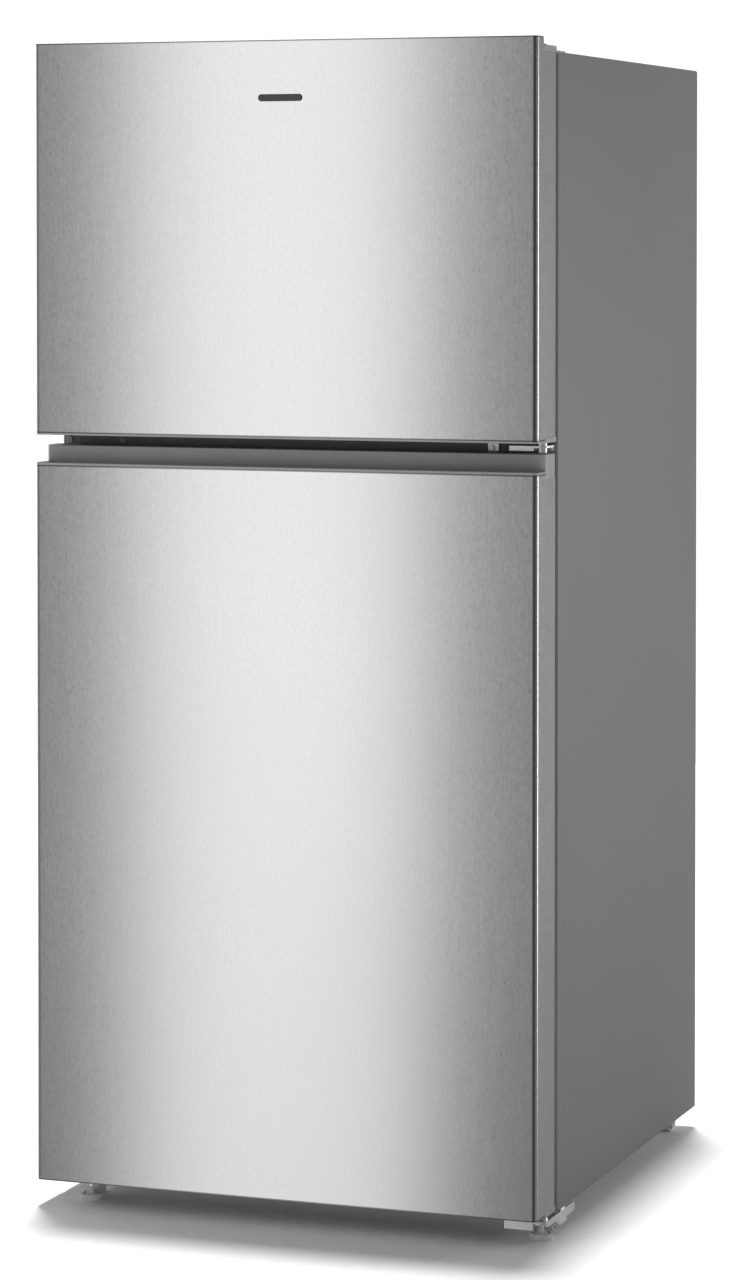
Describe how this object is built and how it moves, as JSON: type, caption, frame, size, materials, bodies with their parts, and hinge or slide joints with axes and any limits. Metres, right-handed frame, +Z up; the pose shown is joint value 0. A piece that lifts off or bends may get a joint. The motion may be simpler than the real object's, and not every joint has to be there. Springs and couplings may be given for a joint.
{
  "type": "top freezer refrigerator",
  "caption": "Free-standing top freezer refrigerator with two hinged doors, pocket handles, glass shelves, crisper drawers, door bins, levelling feet and rollers.",
  "frame": {"origin": "on the floor, under the centre of the object's outline", "axes": "+Z up, the doors face -Y, +X to the right as seen from the front, where the hinges are"},
  "size_m": [0.7585, 0.8306, 1.676],
  "materials": {
    "steel_front": "vertical brushed, satin",
    "cabinet_grey": "satin textured paint",
    "galvanised": "zinc coated",
    "hinge_steel": "bright zinc plated",
    "cap_grey": "fine grained",
    "foam": "rigid foam",
    "liner_white": "thermoformed gloss",
    "gasket": "soft vinyl",
    "clear_plastic": "clear",
    "white_plastic": "satin moulding",
    "shelf_glass": "tempered",
    "wire_white": "epoxy coated",
    "aluminium": "mill",
    "black_enamel": "gloss enamel",
    "black_plastic": "satin",
    "lens": "frosted",
    "wheel": "nylon",
    "foot": "nylon"
  },
  "bodies": {
    "cabinet": {"air_duct": "white_plastic", "back_panel": "galvanised", "bottom_hinge": "hinge_steel", "cabinet_shell": "cabinet_grey", "centre_hinge": "hinge_steel", "compressor": "black_enamel", "condenser_coil": "black_enamel", "condenser_fan_housing": "black_plastic", "control_housing": "white_plastic", "drain_pan": "black_plastic", "evaporator_coil": "aluminium", "evaporator_cover": "liner_white", "fasteners": "hinge_steel", "freezer_liner": "liner_white", "freezer_shelf": "wire_white", "fridge_liner": "liner_white", "front_rails": "cabinet_grey", "hole_plugs": "cap_grey", "insulation_foam": "foam", "left_foot_bracket": "hinge_steel", "light_lens": "lens", "machine_tray": "galvanised", "power_inlet": "black_plastic", "rear_access_cover": "galvanised", "shelf_frames": "white_plastic", "shelf_glass": "shelf_glass", "top_hinge": "hinge_steel", "underside_panel": "galvanised"},
    "fridge_door": {"fridge_door_skin": "steel_front", "fridge_door_top_cap": "cap_grey", "fridge_door_bottom_cap": "cap_grey", "fridge_door_liner": "liner_white", "fridge_door_foam": "foam", "fridge_door_gasket": "gasket"},
    "freezer_door": {"freezer_door_skin": "steel_front", "freezer_door_top_cap": "cap_grey", "freezer_door_bottom_cap": "cap_grey", "freezer_door_liner": "liner_white", "freezer_door_foam": "foam", "freezer_door_gasket": "gasket", "door_badge": "hinge_steel"},
    "fridge_bin_lower": {"fridge_bin_lower": "clear_plastic"},
    "fridge_bin_middle": {"fridge_bin_middle": "clear_plastic"},
    "fridge_bin_upper": {"fridge_bin_upper": "clear_plastic"},
    "freezer_bin_lower": {"freezer_bin_lower": "clear_plastic"},
    "freezer_bin_upper": {"freezer_bin_upper": "clear_plastic"},
    "crisper_left": {"crisper_left": "clear_plastic"},
    "crisper_right": {"crisper_right": "clear_plastic"},
    "humidity_slide_left": {"humidity_slide_left": "cap_grey"},
    "humidity_slide_right": {"humidity_slide_right": "cap_grey"},
    "light_switch": {"light_switch": "white_plastic"},
    "temperature_knob": {"temperature_knob": "white_plastic"},
    "evaporator_fan": {"evaporator_fan": "white_plastic"},
    "condenser_fan": {"condenser_fan": "black_plastic"},
    "left_foot": {"left_foot": "foot"},
    "right_foot": {"right_foot": "foot"},
    "roller_front_left": {"roller_front_left": "wheel"},
    "roller_front_right": {"roller_front_right": "wheel"},
    "roller_rear_left": {"roller_rear_left": "wheel"},
    "roller_rear_right": {"roller_rear_right": "wheel"}
  },
  "joints": [
    {"name": "fridge_door_hinge", "type": "hinge", "parent": "cabinet", "child": "fridge_door", "pos_m": [0.364, -0.345, 0.55], "axis": [0, 0, 1], "range_deg": [0, 125]},
    {"name": "freezer_door_hinge", "type": "hinge", "parent": "cabinet", "child": "freezer_door", "pos_m": [0.364, -0.345, 1.39], "axis": [0, 0, 1], "range_deg": [0, 125]},
    {"name": "fridge_bin_lower_lift", "type": "slide", "parent": "fridge_door", "child": "fridge_bin_lower", "axis": [0, 0, 1], "range_m": [0, 0.03]},
    {"name": "fridge_bin_middle_lift", "type": "slide", "parent": "fridge_door", "child": "fridge_bin_middle", "axis": [0, 0, 1], "range_m": [0, 0.03]},
    {"name": "fridge_bin_upper_lift", "type": "slide", "parent": "fridge_door", "child": "fridge_bin_upper", "axis": [0, 0, 1], "range_m": [0, 0.03]},
    {"name": "freezer_bin_lower_lift", "type": "slide", "parent": "freezer_door", "child": "freezer_bin_lower", "axis": [0, 0, 1], "range_m": [0, 0.03]},
    {"name": "freezer_bin_upper_lift", "type": "slide", "parent": "freezer_door", "child": "freezer_bin_upper", "axis": [0, 0, 1], "range_m": [0, 0.03]},
    {"name": "crisper_left_slide", "type": "slide", "parent": "cabinet", "child": "crisper_left", "axis": [0, -1, 0], "range_m": [0, 0.24]},
    {"name": "crisper_right_slide", "type": "slide", "parent": "cabinet", "child": "crisper_right", "axis": [0, -1, 0], "range_m": [0, 0.24]},
    {"name": "humidity_slide_left_travel", "type": "slide", "parent": "cabinet", "child": "humidity_slide_left", "axis": [1, 0, 0], "range_m": [-0.026, 0.026]},
    {"name": "humidity_slide_right_travel", "type": "slide", "parent": "cabinet", "child": "humidity_slide_right", "axis": [1, 0, 0], "range_m": [-0.026, 0.026]},
    {"name": "light_switch_plunge", "type": "slide", "parent": "cabinet", "child": "light_switch", "axis": [0, -1, 0], "range_m": [0, 0.008]},
    {"name": "temperature_knob_turn", "type": "hinge", "parent": "cabinet", "child": "temperature_knob", "pos_m": [-0.07, -0.237, 1.015], "axis": [0, 0, 1], "range_deg": [-135, 135]},
    {"name": "evaporator_fan_spin", "type": "hinge", "parent": "cabinet", "child": "evaporator_fan", "pos_m": [0, 0.303, 1.48], "axis": [0, 1, 0], "continuous": true},
    {"name": "condenser_fan_spin", "type": "hinge", "parent": "cabinet", "child": "condenser_fan", "pos_m": [0.094, 0.301, 0.148], "axis": [1, 0, 0], "continuous": true},
    {"name": "left_foot_turn", "type": "hinge", "parent": "cabinet", "child": "left_foot", "pos_m": [-0.321, -0.345, 0.01], "axis": [0, 0, 1], "range_deg": [-720, 720]},
    {"name": "right_foot_turn", "type": "hinge", "parent": "cabinet", "child": "right_foot", "pos_m": [0.364, -0.345, 0.01], "axis": [0, 0, 1], "range_deg": [-720, 720]},
    {"name": "roller_front_left_spin", "type": "hinge", "parent": "cabinet", "child": "roller_front_left", "pos_m": [-0.3205, -0.307, 0.0155], "axis": [1, 0, 0], "continuous": true},
    {"name": "roller_front_right_spin", "type": "hinge", "parent": "cabinet", "child": "roller_front_right", "pos_m": [0.358, -0.307, 0.0155], "axis": [1, 0, 0], "continuous": true},
    {"name": "roller_rear_left_spin", "type": "hinge", "parent": "cabinet", "child": "roller_rear_left", "pos_m": [-0.342, 0.369, 0.015], "axis": [1, 0, 0], "continuous": true},
    {"name": "roller_rear_right_spin", "type": "hinge", "parent": "cabinet", "child": "roller_rear_right", "pos_m": [0.342, 0.369, 0.015], "axis": [1, 0, 0], "continuous": true}
  ],
  "couplings": [
    {"joint": "crisper_left_slide", "follows": "fridge_door_hinge", "m_per_rad": 0.11},
    {"joint": "crisper_right_slide", "follows": "fridge_door_hinge", "m_per_rad": 0.11},
    {"joint": "light_switch_plunge", "follows": "fridge_door_hinge", "m_per_rad": 0.003667}
  ]
}
